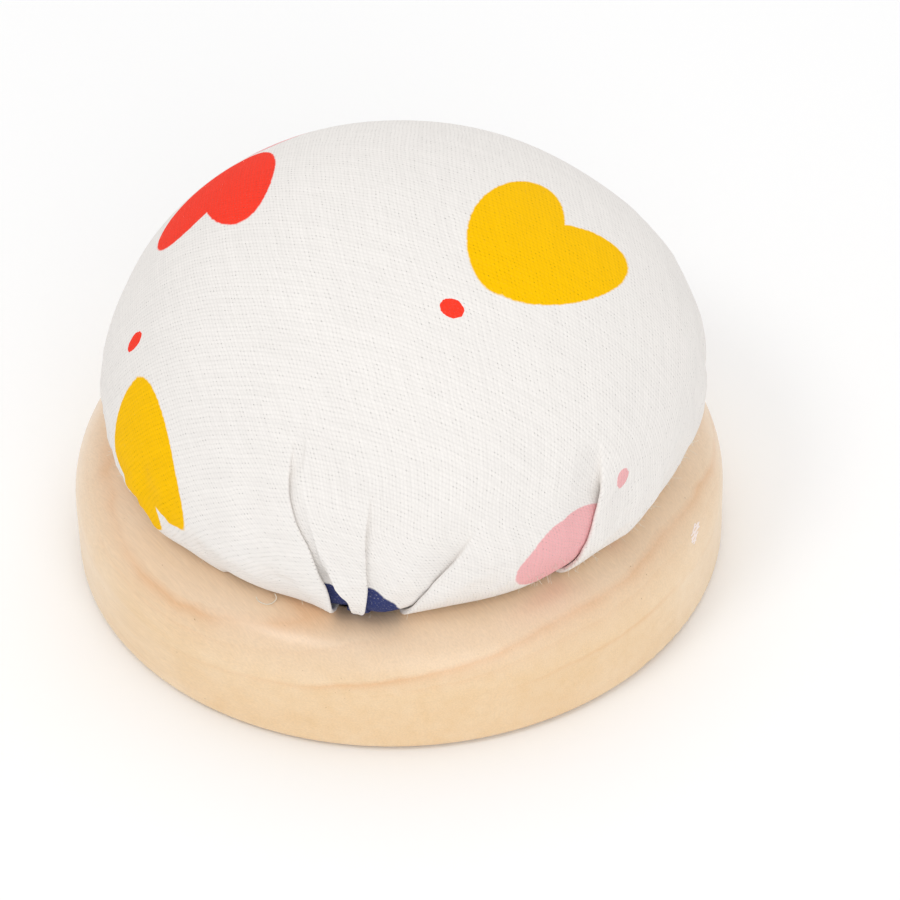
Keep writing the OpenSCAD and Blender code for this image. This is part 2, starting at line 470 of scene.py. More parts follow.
# A coarse bag of cloth, held at the rim and at the pleats, is blown up for a moment. Only the way it bulges
# between the places that hold it is kept, as a field over azimuth and along.
bag = {
    "segments": 160,
    "rings": 84,
    "sideShare": 0.9,     # share of the rings that follow the cushion; the others close the bag below
    "reach": 53.0,        # how far along the cloth those rings go
    "scale": 0.01,        # one mm in the solver's units
    "frames": 20,
    "pressure": 4.0,
    "slack": -0.05,       # negative: the cloth is cut larger than the place that it fills
    "mass": 0.2,
    "stiffness": 20,
    "bending": 0.6,
    "cap": 0.28,          # the highest bulge that is kept, in mm
}


def blownBag():
    clearSelection()
    bpy.ops.mesh.primitive_uv_sphere_add(segments=bag["segments"], ring_count=bag["rings"], radius=1)
    piece = bpy.context.object
    mesh = piece.data
    unit = readVectors(mesh.vertices, "co")
    polar = np.arccos(np.clip(unit[:, 2], -1, 1)) / math.pi
    azimuth = np.arctan2(unit[:, 1], unit[:, 0])
    along = np.minimum(polar / bag["sideShare"], 1) * bag["reach"]
    place = cushionPoint(azimuth, along, np.zeros_like(along))
    place[:, :2] *= 1 - ramp(polar, bag["sideShare"], 1.0)[:, None]
    mesh.vertices.foreach_set("co", (place * bag["scale"]).ravel())
    mesh.update()
    tidyMesh(piece, 0.000001)
    normals = readVectors(mesh.vertices, "normal")
    radius = np.interp(along, outline[0], outline[1])
    held = ramp(along, 45, 49.5)
    for pleat in pleats:
        edge = np.radians(smoothCurve(along, pleat["path"]))
        off = turnBetween(azimuth, edge) * radius
        start = pleat["overlap"][0][0]
        held = np.maximum(held, 0.8 * np.exp(-(off / 1.1) ** 2) * ramp(along, start, start + 5))
    group = piece.vertex_groups.new(name="held")
    for index, weight in enumerate(held):
        if weight > 0.01:
            group.add([index], float(weight), "REPLACE")
    cloth = piece.modifiers.new("Cloth", "CLOTH")
    cloth.settings.vertex_group_mass = "held"
    cloth.settings.use_pressure = True
    cloth.settings.uniform_pressure_force = bag["pressure"]
    cloth.settings.shrink_min = bag["slack"]
    cloth.settings.mass = bag["mass"]
    cloth.settings.tension_stiffness = bag["stiffness"]
    cloth.settings.compression_stiffness = bag["stiffness"]
    cloth.settings.bending_stiffness = bag["bending"]
    cloth.settings.quality = 5
    cloth.settings.effector_weights.gravity = 0
    cloth.collision_settings.use_collision = False
    cloth.point_cache.frame_start = 1
    cloth.point_cache.frame_end = bag["frames"]
    for moment in range(1, bag["frames"] + 1):
        bpy.context.scene.frame_set(moment)
    blown = piece.evaluated_get(bpy.context.evaluated_depsgraph_get()).to_mesh()
    move = (readVectors(blown.vertices, "co") / bag["scale"] - place) * normals
    bulge = move.sum(1)
    bpy.context.scene.frame_set(1)
    bpy.ops.object.delete()
    # one row per ring, one column per segment, in order of azimuth
    rings = np.rint(polar * bag["rings"]).astype(int)
    field = np.zeros((bag["rings"] + 1, bag["segments"]))
    for ring in range(1, bag["rings"]):
        here = np.where(rings == ring)[0]
        here = here[np.argsort(azimuth[here])]
        values = bulge[here] - bulge[here].mean()
        field[ring] = bag["cap"] * np.tanh(values / bag["cap"])
    ringAlong = np.minimum(np.arange(bag["rings"] + 1) / bag["rings"] / bag["sideShare"], 1) * bag["reach"]
    print("stage: bag blown up, bulges", round(float(bulge.min()), 2), "to", round(float(bulge.max()), 2),
          "mm, kept up to", round(float(np.abs(field).max()), 2))
    return ringAlong, np.sort(azimuth[rings == 1]), field


blown = blownBag()


def bulgeAt(azimuth, along):
    if blown is None:
        return np.zeros_like(azimuth)
    ringAlong, segments, field = blown
    ring = np.interp(along, ringAlong, np.arange(len(ringAlong)))
    turn = (azimuth - segments[0]) % (2 * math.pi) / (2 * math.pi) * len(segments)
    low = np.minimum(ring.astype(int), len(ringAlong) - 2)
    left = turn.astype(int)
    down = ring - low
    across = turn - left
    left, right = left % len(segments), (left + 1) % len(segments)
    return ((field[low, left] * (1 - across) + field[low, right] * across) * (1 - down)
            + (field[low + 1, left] * (1 - across) + field[low + 1, right] * across) * down)


def stuffedRise(azimuth, along):
    # how the stuffing fills the cover: hollows beside the pleats, rolls at the rim and a little unevenness
    radius = np.interp(along, outline[0], outline[1])
    rise = np.zeros_like(azimuth)
    for pleat in pleats:
        edge = np.radians(smoothCurve(along, pleat["path"]))
        off = turnBetween(azimuth, edge)
        start = pleat["overlap"][0][0]
        deep = pleat["sink"] * ramp(along, start - 6, start + 8) * (1 - ramp(along, 45, 49))
        rise = rise - deep * np.exp(-(off * radius / coverCloth["valley"]) ** 2)
    for centre, middle, height, wide, long in cushionForm["puffs"]:
        off = turnBetween(azimuth, math.radians(centre))
        rise = rise + height * np.exp(-(off / math.radians(wide)) ** 2 - ((along - middle) / long) ** 2)
    lumps = sum(height * np.sin(waves * azimuth + twist * along + start)
                for height, waves, twist, start in cushionForm["lumps"])
    rise = rise + bulgeAt(azimuth, along) * (1 - ramp(along, 47, 49.5))
    return rise + lumps * ramp(along, 5, 25) * (1 - ramp(along, 49, 52))


# the wood that the cover must stay clear of, in mm
rim = {"height": 13.0, "seatRadius": 27.0}


def sewnCover():
    along, azimuth, rise, flat = gatheredCloth()
    rows, columns = azimuth.shape
    alongAll = np.repeat(along[:, None], columns, 1)
    inSeat = ramp(along, 51.5, 54)[:, None]
    place = cushionPoint(azimuth, alongAll, rise * (1 - 0.35 * inSeat) + stuffedRise(azimuth, alongAll))
    # the cloth stays clear of the wood: above the rim, or inside the seat's wall
    clear = coverCloth["thickness"] / 2 + 0.03
    reach = np.hypot(place[..., 0], place[..., 1])
    outside = ramp(reach, rim["seatRadius"] - 0.35, rim["seatRadius"] + 0.1)
    lifted = np.maximum(place[..., 2], rim["height"] + clear)
    place[..., 2] = np.where(alongAll < 60, place[..., 2] + (lifted - place[..., 2]) * outside, place[..., 2])
    limit = rim["seatRadius"] - clear
    tooFarOut = (place[..., 2] < rim["height"] + 0.1) & (reach > limit)
    squeeze = np.where(tooFarOut, limit / np.maximum(reach, 1), 1)
    place[..., :2] *= squeeze[..., None]

    clearSelection()
    bpy.ops.mesh.primitive_grid_add(x_subdivisions=columns - 1, y_subdivisions=rows - 1, size=2)
    piece = bpy.context.object
    mesh = piece.data
    start = readVectors(mesh.vertices, "co")
    column = np.rint((start[:, 0] + 1) / 2 * (columns - 1)).astype(int)
    row = np.rint((1 - start[:, 1]) / 2 * (rows - 1)).astype(int)
    mesh.vertices.foreach_set("co", (place[row, column] * mm).ravel())
    # the UV map is the flat round of cloth, in mm from its centre
    cornerVertex = np.zeros(len(mesh.loops), int)
    mesh.loops.foreach_get("vertex_index", cornerVertex)
    u = along[row] * np.cos(flat[row, column])
    v = along[row] * np.sin(flat[row, column])
    cloth = mesh.uv_layers.active or mesh.uv_layers.new()
    cloth.name = "flatCloth"
    cloth.data.foreach_set("uv", np.stack([u, v], -1)[cornerVertex].ravel())
    mesh.update()
    tidyMesh(piece, 0.000005)
    if max(mesh.polygons, key=lambda face: face.center.z).normal.z < 0:
        mesh.flip_normals()
    return piece


cover = sewnCover()
applyModifier(cover, "SOLIDIFY", thickness=coverCloth["thickness"] * mm, offset=0, use_even_offset=False)
print("stage: cover wrapped,", len(cover.data.polygons), "faces")


# Plain-weave cotton, screen printed: matt, with a fine grid of threads and pinholes between them.
cottonPrint = {
    "ground": "#F3EFEB",
    "inks": {"yellow": "#FFC600", "red": "#FF3F2B", "pink": "#F3B6B8", "navy": "#363E6E"},
    # two petals make a heart, in the heart's own frame, where its tip points to -X:
    # place, turn, and half length and half width
    "petals": [((0.27, 2.64), 15.6, (9.9, 4.2)), ((-0.06, -2.28), -17.2, (9.2, 4.85))],
    # colour, place in the flat cloth in mm, turn of the way from tip to notch in degrees,
    # how far the petals spread, length and width against the petals' own
    "hearts": [
        ("yellow", (16.6, -4.6), 57.5, 1.0, (1.0, 1.0)),
        ("red", (-17.7, 9.1), -105.1, 1.0, (0.88, 1.15)),
        ("yellow", (-35.6, -18.0), -112.9, 0.88, (0.83, 1.07)),
        ("pink", (22.4, -41.5), 244.7, 1.0, (0.97, 1.03)),
        ("navy", (-14.6, -52.1), 79, 1.34, (1.0, 0.95)),
        ("pink", (56.5, 9.0), 160, 1.0, (1.0, 1.0)),
        ("pink", (-13.5, 26.0), 100, 1.1, (0.95, 1.05)),
        ("navy", (24.5, 31.0), -20, 1.0, (1.0, 1.0)),
        ("yellow", (-40.5, 35.0), 30, 1.1, (0.9, 1.1)),
        ("red", (-57.0, 8.0), 200, 1.0, (1.0, 1.0)),
        ("red", (55.0, -32.0), 75, 1.1, (0.9, 1.05)),
        ("yellow", (11.0, 59.0), 250, 1.0, (1.0, 1.0)),
        ("navy", (48.0, 46.0), 130, 1.0, (0.95, 1.1)),
    ],
    # colour, place, half sizes, turn
    "dots": [
        ("red", (7.2, -14.8), (1.18, 1.1), 0),
        ("red", (-31.6, -6.3), (1.6, 0.95), -15),
        ("pink", (28.3, -26.9), (1.15, 0.85), 14),
        ("pink", (40.3, -3.4), (1.5, 1.0), 50),
        ("yellow", (3.0, 24.5), (1.15, 1.1), 0),
        ("red", (33.0, 15.5), (1.15, 1.05), 20),
        ("yellow", (-26.0, 33.0), (1.2, 1.1), 0),
        ("pink", (-39.0, 12.5), (1.15, 1.1), 0),
        ("navy", (7.0, 40.0), (1.2, 1.1), 40),
        ("yellow", (46.0, 20.0), (1.15, 1.1), 0),
        ("red", (-20.0, 47.0), (1.2, 1.1), 0),
    ],
    # how well the ink covers the hollows between the threads
    "inkInHollows": {"yellow": 1.0, "red": 0.97, "pink": 0.85, "navy": 0.97},
    # how much cloth shows through in specks
    "flecks": {"yellow": 0.03, "red": 0.08, "pink": 0.35, "navy": 0.4},
    "rowSpacing": 0.45,       # mm between weft threads
    "columnSpacing": 0.40,    # mm between warp threads
    "rowTurn": 70,            # degrees from X to the way across the rows
    "columnTurn": 5,
}


def printedShapes(material, place, ink):
    # 1 inside any heart or dot of this ink, 0 outside, with an edge a thread wide. Each shape is a disc
    # of radius 1, seen in the frame that it lies in: a dot in its own, a petal in its heart's and its own
    shapes = []
    for heartInk, centre, turn, spread, size in cottonPrint["hearts"]:
        for (x, y), petalTurn, half in cottonPrint["petals"]:
            if heartInk == ink:
                shapes.append([(centre, turn, size), ((x, y * spread), petalTurn * spread, half)])
    for dotInk, centre, half, turn in cottonPrint["dots"]:
        if dotInk == ink:
            shapes.append([(centre, turn, half)])
    nearest = None
    for frames in shapes:
        seen = place
        for centre, turn, size in frames:
            seen = (addNode(material, "ShaderNodeMapping",
                            {"vector_type": "TEXTURE", "Location": (*centre, 0), "Scale": (*size, 1),
                             "Rotation": (0, 0, math.radians(turn))}, {"Vector": seen}), 0)
        reach = (addNode(material, "ShaderNodeVectorMath", {"operation": "LENGTH"}, {0: seen}), "Value")
        if nearest:
            reach = (addNode(material, "ShaderNodeMath", {"operation": "MINIMUM"}, {0: nearest, 1: reach}), 0)
        nearest = reach
    return addNode(material, "ShaderNodeMapRange",
                   {"From Min": 0.985, "From Max": 1.015, "To Min": 1.0, "To Max": 0.0}, {"Value": nearest})


def makeCotton():
    cotton = newMaterial("printedCotton")
    spec = cottonPrint
    flat = addNode(cotton, "ShaderNodeUVMap", {"uv_map": "flatCloth"})
    # threads wander a little, so the weave and the edges of the print do too
    wander = addNode(cotton, "ShaderNodeTexNoise", {"Scale": 0.35, "Detail": 2.0}, {"Vector": (flat, 0)})
    wanderBy = addNode(cotton, "ShaderNodeVectorMath",
                       {"operation": "MULTIPLY_ADD", 1: (0.5, 0.5, 0), 2: (-0.25, -0.25, 0)},
                       {0: (wander, "Color")})
    threads = addNode(cotton, "ShaderNodeVectorMath", {"operation": "ADD"}, {0: (flat, 0), 1: (wanderBy, 0)})
    waves = []
    for turn, spacing in ((spec["rowTurn"], spec["rowSpacing"]), (spec["columnTurn"], spec["columnSpacing"])):
        way = math.radians(turn)
        across = (math.cos(way) * math.pi / spacing, math.sin(way) * math.pi / spacing, 0)
        phase = addNode(cotton, "ShaderNodeVectorMath",
                        {"operation": "DOT_PRODUCT", 1: across},
                        {0: (threads, 0)})
        waves.append(addNode(cotton, "ShaderNodeMath", {"operation": "SINE"}, {0: (phase, "Value")}))
    overUnder = addNode(cotton, "ShaderNodeMath",
                        {"operation": "MULTIPLY"},
                        {0: (waves[0], 0), 1: (waves[1], 0)})
    crown = addNode(cotton, "ShaderNodeMath", {"operation": "ABSOLUTE"}, {0: (overUnder, 0)})
    thread = addNode(cotton, "ShaderNodeMath", {"operation": "POWER", 1: 0.55}, {0: (crown, 0)})
    # pinholes where the threads cross loosely: only some of them stay open
    rowGap = addNode(cotton, "ShaderNodeMath", {"operation": "ABSOLUTE"}, {0: (waves[0], 0)})
    columnGap = addNode(cotton, "ShaderNodeMath", {"operation": "ABSOLUTE"}, {0: (waves[1], 0)})
    gap = addNode(cotton, "ShaderNodeMath", {"operation": "MAXIMUM"}, {0: (rowGap, 0), 1: (columnGap, 0)})
    openness = addNode(cotton, "ShaderNodeTexNoise",
                       {"Scale": 1.1, "Detail": 3.0, "Roughness": 0.7},
                       {"Vector": (flat, 0)})
    hole = addNode(cotton, "ShaderNodeMapRange",
                   {"From Min": 0.25, "From Max": 0.55, "To Min": 1.0, "To Max": 0.0},
                   {"Value": (gap, 0)})
    openHere = addNode(cotton, "ShaderNodeMapRange",
                       {"From Min": 0.48, "From Max": 0.68},
                       {"Value": (openness, 0)})
    pinhole = addNode(cotton, "ShaderNodeMath", {"operation": "MULTIPLY"}, {0: (hole, 0), 1: (openHere, 0)})
    # uneven yarn: slightly darker and lighter runs along both thread directions
    slubs = []
    for turn, spacing in ((spec["rowTurn"], spec["rowSpacing"]), (spec["columnTurn"], spec["columnSpacing"])):
        run = addNode(cotton, "ShaderNodeMapping",
                      {"vector_type": "TEXTURE", "Rotation": (0, 0, math.radians(turn)),
                       "Scale": (spacing, 9, 1)},
                      {"Vector": (flat, 0)})
        slubs.append(addNode(cotton, "ShaderNodeTexNoise",
                             {"Scale": 1.0, "Detail": 1.0},
                             {"Vector": (run, 0)}))
    slub = addNode(cotton, "ShaderNodeMath", {"operation": "ADD"}, {0: (slubs[0], 0), 1: (slubs[1], 0)})
    # colour: ground, then one ink after another
    edgeJitter = addNode(cotton, "ShaderNodeTexNoise", {"Scale": 2.2, "Detail": 1.0}, {"Vector": (flat, 0)})
    jitterBy = addNode(cotton, "ShaderNodeVectorMath",
                       {"operation": "MULTIPLY_ADD", 1: (0.24, 0.24, 0), 2: (-0.12, -0.12, 0)},
                       {0: (edgeJitter, "Color")})
    printPlace = addNode(cotton, "ShaderNodeVectorMath",
                         {"operation": "ADD"},
                         {0: (flat, 0), 1: (jitterBy, 0)})
    fuzz = addNode(cotton, "ShaderNodeTexNoise",
                   {"Scale": 4.5, "Detail": 3.0, "Roughness": 0.65},
                   {"Vector": (flat, 0)})
    ground = addNode(cotton, "ShaderNodeRGB")
    ground.outputs[0].default_value = linearColour(spec["ground"])
    colour = (ground, 0)
    for ink, code in spec["inks"].items():
        printed = printedShapes(cotton, (printPlace, 0), ink)
        # ink lies on the crowns of the threads and misses a little in the hollows
        taken = addNode(cotton, "ShaderNodeMapRange",
                        {"From Max": 0.5, "To Min": spec["inkInHollows"][ink], "To Max": 1.0},
                        {"Value": (thread, 0)})
        fleck = addNode(cotton, "ShaderNodeMapRange",
                        {"From Min": 0.58, "From Max": 0.74, "To Min": 1.0,
                         "To Max": 1 - spec["flecks"][ink]},
                        {"Value": (fuzz, 0)})
        taken = addNode(cotton, "ShaderNodeMath", {"operation": "MULTIPLY"}, {0: (taken, 0), 1: (fleck, 0)})
        inked = addNode(cotton, "ShaderNodeMath", {"operation": "MULTIPLY"}, {0: (printed, 0), 1: (taken, 0)})
        colour = (addNode(cotton, "ShaderNodeMix", {"data_type": "RGBA", 7: linearColour(code)},
                          {0: (inked, 0), 6: colour}), 2)
    # painted shade: the hollows between the threads are painted a little darker and the pinholes darker
    # still; the yarn's own tone is uneven too
    paintedHollowShade = addNode(cotton, "ShaderNodeMapRange", {"To Min": 0.93, "To Max": 1.0}, {"Value": (thread, 0)})
    uneven = addNode(cotton, "ShaderNodeMapRange",
                     {"From Min": 0.7, "From Max": 1.3, "To Min": 0.965, "To Max": 1.02},
                     {"Value": (slub, 0)})
    paintedPinholeShade = addNode(cotton, "ShaderNodeMapRange", {"To Min": 1.0, "To Max": 0.55}, {"Value": (pinhole, 0)})
    paintedShadeAndYarnTone = addNode(cotton, "ShaderNodeMath", {"operation": "MULTIPLY"}, {0: (paintedHollowShade, 0), 1: (uneven, 0)})
    paintedShadeAndYarnTone = addNode(cotton, "ShaderNodeMath", {"operation": "MULTIPLY"}, {0: (paintedShadeAndYarnTone, 0), 1: (paintedPinholeShade, 0)})
    shaded = addNode(cotton, "ShaderNodeVectorMath", {"operation": "SCALE"}, {0: colour, "Scale": (paintedShadeAndYarnTone, 0)})
    # relief: crowns of the threads stand about 0.07 mm over the hollows, and fine fuzz roughens them
    relief = addNode(cotton, "ShaderNodeMath",
                     {"operation": "MULTIPLY_ADD", 1: 0.25},
                     {0: (fuzz, 0), 2: (thread, 0)})
    bump = addNode(cotton, "ShaderNodeBump",
                   {"Strength": 0.45, "Distance": 0.07 * mm},
                   {"Height": (relief, 0)})
    shader = addNode(cotton, "ShaderNodeBsdfPrincipled",
                     {"Roughness": 0.9, "Specular IOR Level": 0.05, "Sheen Weight": 0.02,
                      "Sheen Roughness": 0.5},
                     {"Base Color": (shaded, 0), "Normal": (bump, 0)})
    addNode(cotton, "ShaderNodeOutputMaterial", links={"Surface": (shader, 0)})
    return cotton


finishPiece(cover, "cottonCover", makeCotton(), ["cushion_cover"])
print("stage: cotton printed")


# Turned birch, sanded and given one thin coat of clear satin lacquer: pale, with faint growth rings
# and short fibre marks.
birch = {
    # rim is the painted highlight colour of the flat rim and shoulder
    "light": "#F2D7B3", "dark": "#EAC797", "line": "#DA8E38", "rim": "#EBCFB2", "speck": "#9A6B43",
    "grainTurn": -57,        # degrees from X to the way the fibres run
    "pith": (7.7, -150),     # mm across the fibres and up: so far off that the growth layers lie almost level
    "ringWidth": 4.4,        # mm
    "ringStart": 0.125,      # share of a ring, which sets the heights of the lines
    "fibre": (2.6, 0.16),    # mm long and wide
}


def makeBirch():
    wood = newMaterial("lacqueredBirch")
    spec = birch
    place = addNode(wood, "ShaderNodeTexCoord")
    inMm = addNode(wood, "ShaderNodeMapping",
                   {"Scale": (1000, 1000, 1000), "Rotation": (0, 0, math.radians(-spec["grainTurn"]))},
                   {"Vector": (place, "Object")})
    # growth rings: distance from the pith, drawn out along the fibres and unevenly spaced
    drift = addNode(wood, "ShaderNodeTexNoise", {"Scale": 0.03, "Detail": 2.0}, {"Vector": (inMm, 0)})
    driftBy = addNode(wood, "ShaderNodeMath", {"operation": "MULTIPLY_ADD", 1: 3.0, 2: -1.5}, {0: (drift, 0)})
    ripple = addNode(wood, "ShaderNodeTexNoise", {"Scale": 0.3, "Detail": 2.0}, {"Vector": (inMm, 0)})
    rippleBy = addNode(wood, "ShaderNodeMath",
                       {"operation": "MULTIPLY_ADD", 1: 0.6, 2: -0.3 + spec["ringStart"] * spec["ringWidth"]},
                       {0: (ripple, 0)})
    fromPith = addNode(wood, "ShaderNodeVectorMath",
                       {"operation": "SUBTRACT", 1: (0, *spec["pith"])},
                       {0: (inMm, 0)})
    acrossFibre = addNode(wood, "ShaderNodeVectorMath",
                          {"operation": "MULTIPLY", 1: (0, 1, 1)},
                          {0: (fromPith, 0)})
    distance = addNode(wood, "ShaderNodeVectorMath", {"operation": "LENGTH"}, {0: (acrossFibre, 0)})
    rings = addNode(wood, "ShaderNodeMath", {"operation": "ADD"}, {0: (distance, "Value"), 1: (driftBy, 0)})
    rings = addNode(wood, "ShaderNodeMath", {"operation": "ADD"}, {0: (rings, 0), 1: (rippleBy, 0)})
    rings = addNode(wood, "ShaderNodeMath", {"operation": "DIVIDE", 1: spec["ringWidth"]}, {0: (rings, 0)})
    season = addNode(wood, "ShaderNodeMath", {"operation": "FRACT"}, {0: (rings, 0)})
    # short fibres along the grain, and broad soft patches
    along = addNode(wood, "ShaderNodeMapping",
                    {"vector_type": "TEXTURE",
                     "Scale": (spec["fibre"][0], spec["fibre"][1], spec["fibre"][1])},
                    {"Vector": (inMm, 0)})
    fibres = addNode(wood, "ShaderNodeTexNoise",
                     {"Scale": 1.0, "Detail": 3.0, "Roughness": 0.6},
                     {"Vector": (along, 0)})
    streak = addNode(wood, "ShaderNodeMapping",
                     {"vector_type": "TEXTURE", "Scale": (14, 1.2, 1.2)},
                     {"Vector": (inMm, 0)})
    streaks = addNode(wood, "ShaderNodeTexNoise", {"Scale": 1.0, "Detail": 2.0}, {"Vector": (streak, 0)})
    patches = addNode(wood, "ShaderNodeTexNoise", {"Scale": 0.09, "Detail": 2.0}, {"Vector": (inMm, 0)})
    # the colour of the wood between the growth lines
    tone = addNode(wood, "ShaderNodeMath",
                   {"operation": "MULTIPLY_ADD", 1: 0.6},
                   {0: (streaks, 0), 2: (patches, 0)})
    toneBy = addNode(wood, "ShaderNodeMapRange", {"From Min": 0.45, "From Max": 1.15}, {"Value": (tone, 0)})
    body = addNode(wood, "ShaderNodeMix",
                   {"data_type": "RGBA", 6: linearColour(spec["light"]), 7: linearColour(spec["dark"])},
                   {0: (toneBy, 0)})
    late = addNode(wood, "ShaderNodeValToRGB", links={"Fac": (season, 0)})
    tint = late.color_ramp
    tint.elements[0].position = 0.0
    tint.elements[0].color = (0, 0, 0, 1)
    tint.elements[1].position = 1.0
    tint.elements[1].color = (0.15, 0.15, 0.15, 1)
    for at, value in ((0.5, 0.05), (0.62, 0.2), (0.66, 0.06), (0.8, 0.25), (0.92, 0.75), (0.97, 0.3)):
        tint.elements.new(at).color = (value, value, value, 1)
    # the upper rings are the plain ones; further down they almost vanish
    height = addNode(wood, "ShaderNodeSeparateXYZ", links={0: (inMm, 0)})
    plain = addNode(wood, "ShaderNodeMapRange",
                    {"From Min": 6.2, "From Max": 8.5, "To Min": 0.03, "To Max": 0.5},
                    {"Value": (height, "Z")})
    broken = addNode(wood, "ShaderNodeMapRange",
                     {"From Min": 0.35, "From Max": 0.6, "To Min": 0.25, "To Max": 1.0},
                     {"Value": (patches, 0)})
    clear = addNode(wood, "ShaderNodeMath", {"operation": "MULTIPLY"}, {0: (plain, 0), 1: (broken, 0)})
    lineBy = addNode(wood, "ShaderNodeMath", {"operation": "MULTIPLY"}, {0: (late, "Color"), 1: (clear, 0)})
    # painted highlight: the flat rim and shoulder are painted paler and pinker than the side, a painted sheen
    # of the light from above
    paintedTopSheen = addNode(wood, "ShaderNodeMapRange",
                    {"From Min": 7.5, "From Max": 12.0, "To Max": 0.7},
                    {"Value": (height, "Z")})
    toneWithPaintedSheen = addNode(wood, "ShaderNodeMix",
                    {"data_type": "RGBA", 7: linearColour(spec["rim"])},
                    {0: (paintedTopSheen, 0), 6: (body, 2)})
    ringed = addNode(wood, "ShaderNodeMix", {"data_type": "RGBA", 7: linearColour(spec["line"])},
                     {0: (lineBy, 0), 6: (toneWithPaintedSheen, 2)})
    fibreShade = addNode(wood, "ShaderNodeMapRange",
                         {"From Min": 0.3, "From Max": 0.7, "To Min": 0.925, "To Max": 1.04},
                         {"Value": (fibres, 0)})
    shaded = addNode(wood, "ShaderNodeVectorMath",
                     {"operation": "SCALE"},
                     {0: (ringed, 2), "Scale": (fibreShade, 0)})
    # a few dark pin knots and pores
    pores = addNode(wood, "ShaderNodeMapping",
                    {"vector_type": "TEXTURE", "Scale": (0.7, 0.28, 0.28)},
                    {"Vector": (inMm, 0)})
    pore = addNode(wood, "ShaderNodeTexNoise", {"Scale": 0.8, "Detail": 1.0}, {"Vector": (pores, 0)})
    poreBy = addNode(wood, "ShaderNodeMapRange",
                     {"From Min": 0.785, "From Max": 0.83, "To Max": 0.7},
                     {"Value": (pore, 0)})
    finished = addNode(wood, "ShaderNodeMix", {"data_type": "RGBA", 7: linearColour(spec["speck"])},
                       {0: (poreBy, 0), 6: (shaded, 0)})
    bump = addNode(wood, "ShaderNodeBump", {"Strength": 0.25, "Distance": 0.04 * mm}, {"Height": (fibres, 0)})
    shader = addNode(wood, "ShaderNodeBsdfPrincipled",
                     {"Roughness": 0.42, "IOR": 1.5, "Specular IOR Level": 0.5, "Coat Weight": 0.7,
                      "Coat Roughness": 0.26},
                     {"Base Color": (finished, 2), "Normal": (bump, 0)})
    addNode(wood, "ShaderNodeOutputMaterial", links={"Surface": (shader, 0)})
    return wood


base = nodes["wooden_base"]
base.data.materials.clear()
base.data.materials.append(makeBirch())
print("stage: base finished")

# Polyester fibre filling: a springy wad that fills the cover, lumpy where the tufts press against each other.
filling = {
    "inset": 1.15,           # how far the filling stays inside the cushion's outline, in mm
    "floor": 10.05,
    "sideShare": 0.875,      # share of the rings that follow the cover; the others make the flat underside
    "tuftHeight": 0.22,
    # name, size in mm, height against tuftHeight
    "tufts": [("tufts", 4.5, 4), ("fineTufts", 1.6, 1.5)],
}


def stuffingWad():
    clearSelection()
    bpy.ops.mesh.primitive_uv_sphere_add(segments=160, ring_count=96, radius=1)
    piece = bpy.context.object
    mesh = piece.data
    unit = readVectors(mesh.vertices, "co")
    polar = np.arccos(np.clip(unit[:, 2], -1, 1)) / math.pi
    azimuth = np.arctan2(unit[:, 1], unit[:, 0])
    # the upper rings follow the cover, the others are the flat underside on the card
    onSide = (outline[0] < 60) & (outline[2] > filling["floor"])
    edge = outline[0][onSide][-1]
    along = np.minimum(polar / filling["sideShare"], 1) * edge
    place = cushionPoint(azimuth, along, np.full_like(along, -filling["inset"]))
    inward = ramp(polar, filling["sideShare"], 1.0)[:, None]
    place[:, :2] *= 1 - inward
    place[:, 2] = np.maximum(place[:, 2], filling["floor"])
    mesh.vertices.foreach_set("co", (place * mm).ravel())
    mesh.update()
    tidyMesh(piece, 0.00001)
    return piece


wad = stuffingWad()
for name, size, share in filling["tufts"]:
    texture = bpy.data.textures.new(name, "CLOUDS")
    texture.noise_scale = size * mm
    texture.noise_depth = 2
    applyModifier(wad, "DISPLACE", texture=texture, texture_coords="LOCAL", mid_level=0.75,
                  strength=filling["tuftHeight"] * mm * share)

# white, matt and a little see-through, with crimped strands
fibre = newMaterial("polyesterFibre")
fibrePlace = addNode(fibre, "ShaderNodeTexCoord")
strands = addNode(fibre, "ShaderNodeTexNoise",
                  {"Scale": 1600.0, "Detail": 4.0, "Roughness": 0.7, "Distortion": 2.5},
                  {"Vector": (fibrePlace, "Object")})
strandTone = addNode(fibre, "ShaderNodeMapRange",
                     {"From Min": 0.3, "From Max": 0.7, "To Min": 0.78, "To Max": 0.97},
                     {"Value": (strands, 0)})
strandBump = addNode(fibre, "ShaderNodeBump",
                     {"Strength": 0.8, "Distance": 0.15 * mm},
                     {"Height": (strands, 0)})
fibreShader = addNode(fibre, "ShaderNodeBsdfPrincipled",
                      {"Roughness": 0.9, "Specular IOR Level": 0.2, "Sheen Weight": 0.3,
                       "Subsurface Weight": 0.25, "Subsurface Radius": (0.001, 0.001, 0.001)},
                      {"Base Color": (strandTone, 0), "Normal": (strandBump, 0)})
addNode(fibre, "ShaderNodeOutputMaterial", links={"Surface": (fibreShader, 0)})
finishPiece(wad, "fibreWad", fibre, ["fibre_filling"])
print("stage: filling stuffed")


# Grey board under the filling: recycled pulp, matt, with mixed flecks.
board = newMaterial("greyBoard")
boardPlace = addNode(board, "ShaderNodeTexCoord")
pulp = addNode(board, "ShaderNodeTexNoise",
               {"Scale": 900.0, "Detail": 5.0, "Roughness": 0.7},
               {"Vector": (boardPlace, "Object")})
pulpColour = addNode(board, "ShaderNodeMix",
                     {"data_type": "RGBA", 6: linearColour("#7D7A73"), 7: linearColour("#ABA79E")},
                     {0: (pulp, 0)})
pulpBump = addNode(board, "ShaderNodeBump", {"Strength": 0.4, "Distance": 0.05 * mm}, {"Height": (pulp, 0)})
boardShader = addNode(board, "ShaderNodeBsdfPrincipled", {"Roughness": 0.92, "Specular IOR Level": 0.2},
                      {"Base Color": (pulpColour, 2), "Normal": (pulpBump, 0)})
addNode(board, "ShaderNodeOutputMaterial", links={"Surface": (boardShader, 0)})
card = nodes["backing_card"]
card.data.materials.clear()
card.data.materials.append(board)


